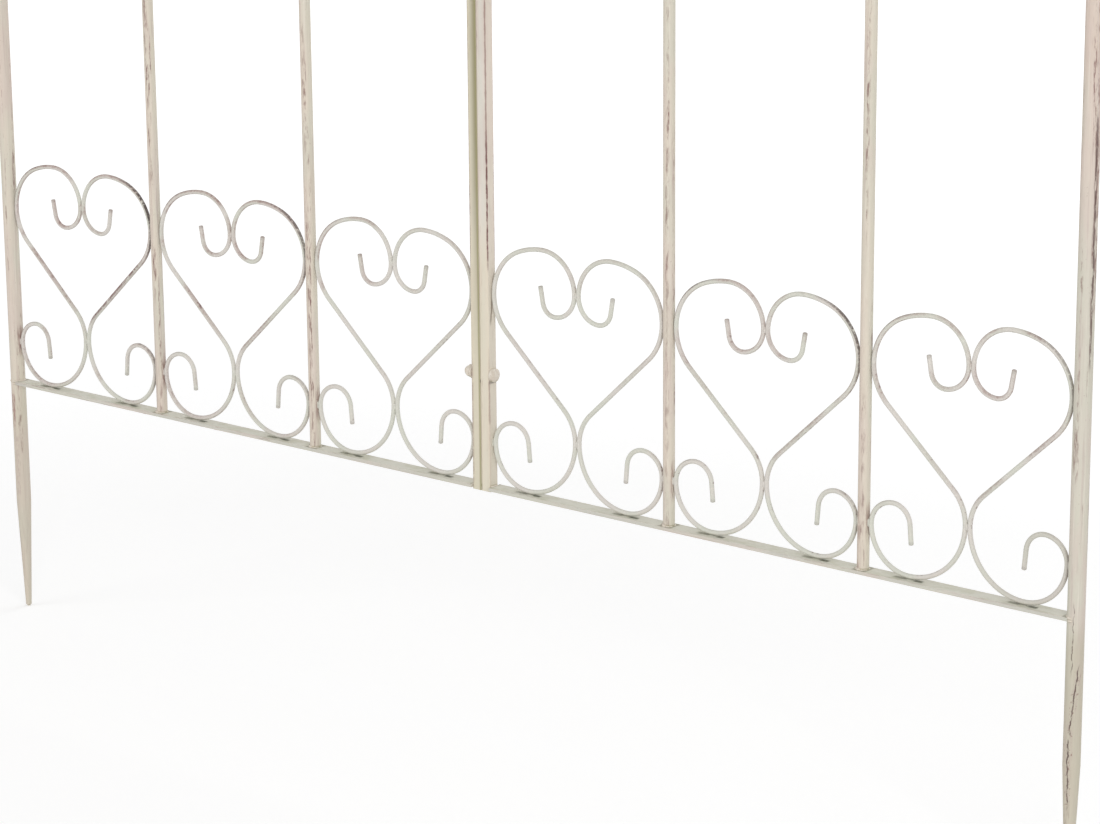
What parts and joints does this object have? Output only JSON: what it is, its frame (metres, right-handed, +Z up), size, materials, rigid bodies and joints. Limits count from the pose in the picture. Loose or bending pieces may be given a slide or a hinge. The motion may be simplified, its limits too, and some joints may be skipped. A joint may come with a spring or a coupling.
{
  "type": "garden trellis",
  "caption": "Wide arch-topped metal trellis for climbing plants, in bolted half panels with round bars, wire scroll hearts along the bottom rail and pointed ground spikes.",
  "frame": {"origin": "on the ground plane of the two spike tips, midway between them, in the middle plane of the panel", "axes": "+X along the width to the right as seen from the front, +Y to the back, +Z up"},
  "size_m": [1.1984, 0.015, 1.8058],
  "materials": {
    "tube_paint": "brushed cream paint over rust-brown primer, rubbed through along the edges",
    "rail_paint": "cream paint with a grey-green cast",
    "wire_paint": "cream paint rubbed through to brown on the outer side",
    "fastener_paint": "cream paint"
  },
  "bodies": {
    "root": {"left_side_tube": "tube_paint", "right_side_tube": "tube_paint", "left_centre_tube": "tube_paint", "right_centre_tube": "tube_paint", "left_lower_rail": "rail_paint", "right_lower_rail": "rail_paint", "left_upper_rail": "rail_paint", "right_upper_rail": "rail_paint", "bar_1": "tube_paint", "bar_2": "tube_paint", "bar_3": "tube_paint", "bar_4": "tube_paint", "top_bar_1": "tube_paint", "top_bar_2": "tube_paint", "top_bar_3": "tube_paint", "top_bar_4": "tube_paint", "heart_1_left_scroll": "wire_paint", "heart_1_right_scroll": "wire_paint", "heart_2_left_scroll": "wire_paint", "heart_2_right_scroll": "wire_paint", "heart_3_left_scroll": "wire_paint", "heart_3_right_scroll": "wire_paint", "heart_4_left_scroll": "wire_paint", "heart_4_right_scroll": "wire_paint", "heart_5_left_scroll": "wire_paint", "heart_5_right_scroll": "wire_paint", "heart_6_left_scroll": "wire_paint", "heart_6_right_scroll": "wire_paint", "joining_bolt_1": "fastener_paint", "joining_bolt_2": "fastener_paint", "joining_bolt_3": "fastener_paint", "washer_1": "fastener_paint", "washer_2": "fastener_paint", "washer_3": "fastener_paint", "cap_nut_1": "fastener_paint", "cap_nut_2": "fastener_paint", "cap_nut_3": "fastener_paint"}
  },
  "joints": []
}
